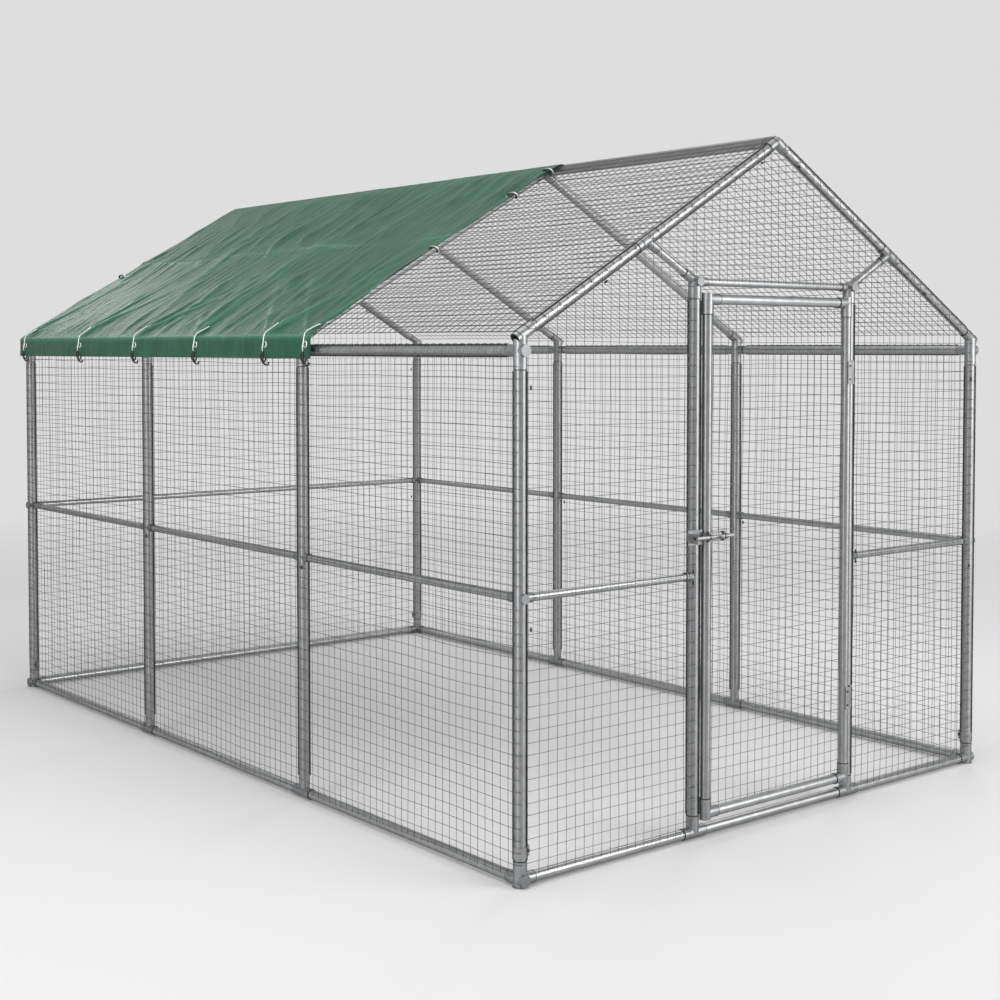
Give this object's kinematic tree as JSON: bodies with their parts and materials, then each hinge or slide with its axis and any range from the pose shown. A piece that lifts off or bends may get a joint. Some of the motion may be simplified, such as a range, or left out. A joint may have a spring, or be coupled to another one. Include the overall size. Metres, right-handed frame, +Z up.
{
  "type": "chicken run",
  "caption": "Walk-in poultry run: galvanised tube frame with a gable roof, welded mesh all round, a hinged mesh door with a sliding bolt, and a green tarpaulin over the rear of one slope.",
  "frame": {"origin": "on the ground in the middle of the run's footprint", "axes": "+Z up, +Y along the ridge away from the door, +X to the right when the door is faced from outside"},
  "size_m": [1.9308, 3.1098, 1.935],
  "materials": {
    "tube": "dull galvanised tube",
    "fitting": "galvanised sleeve with weld scale",
    "plug": "dull pressed cap",
    "hardware": "zinc-plated sheet and rod",
    "wire": "galvanised wire",
    "sheet": "woven polyethylene with a slight sheen",
    "eyelet": "bright eyelets and wire"
  },
  "bodies": {
    "frame": {"post_front_left": "tube", "post_front_right": "tube", "post_back_right": "tube", "post_back_left": "tube", "side_posts_left": "tube", "side_posts_right": "tube", "door_post_left": "tube", "door_post_right": "tube", "base_rails_left": "tube", "base_rails_right": "tube", "base_rail_back": "tube", "base_rails_front": "tube", "door_sill": "tube", "mid_rails_left": "tube", "mid_rails_right": "tube", "mid_rail_back": "tube", "mid_rails_front": "tube", "eave_rails_left": "tube", "eave_rails_right": "tube", "ridge_tubes": "tube", "rafters_front": "tube", "rafters_inner": "tube", "rafters_back": "tube", "lintel": "tube", "lintel_struts": "tube", "base_corner_fittings": "fitting", "door_post_base_tees": "fitting", "eave_corner_fittings": "fitting", "eave_side_fittings": "fitting", "apex_end_fittings": "fitting", "apex_inner_fittings": "fitting", "lintel_corner_fittings": "fitting", "strut_tees": "fitting", "end_plugs": "plug", "foot_plugs": "plug", "post_band_clamps": "hardware", "frame_screws": "hardware", "mesh_left": "wire", "mesh_right": "wire", "mesh_back": "wire", "mesh_front_left": "wire", "mesh_front_right": "wire", "mesh_front_gable": "wire", "mesh_roof_left": "wire", "mesh_roof_right": "wire", "hinge_post_leaves": "hardware", "hinge_pins": "hardware", "latch_keeper": "hardware", "tarpaulin": "sheet", "tarp_eyelets": "eyelet", "tarp_hooks": "eyelet"},
    "door": {"door_stiles": "tube", "door_rails": "tube", "door_corner_sleeves": "fitting", "door_mesh": "wire", "hinge_door_leaves": "hardware", "door_screws": "hardware", "latch_bracket": "hardware"},
    "bolt": {"latch_bolt": "hardware"}
  },
  "joints": [
    {"name": "door_hinge", "type": "hinge", "parent": "frame", "child": "door", "pos_m": [0.308, -1.5289, 0.75], "axis": [0, 0, 1], "range_deg": [0, 165]},
    {"name": "bolt_slide", "type": "slide", "parent": "door", "child": "bolt", "axis": [-1, 0, 0], "range_m": [-0.022, 0.018]}
  ]
}
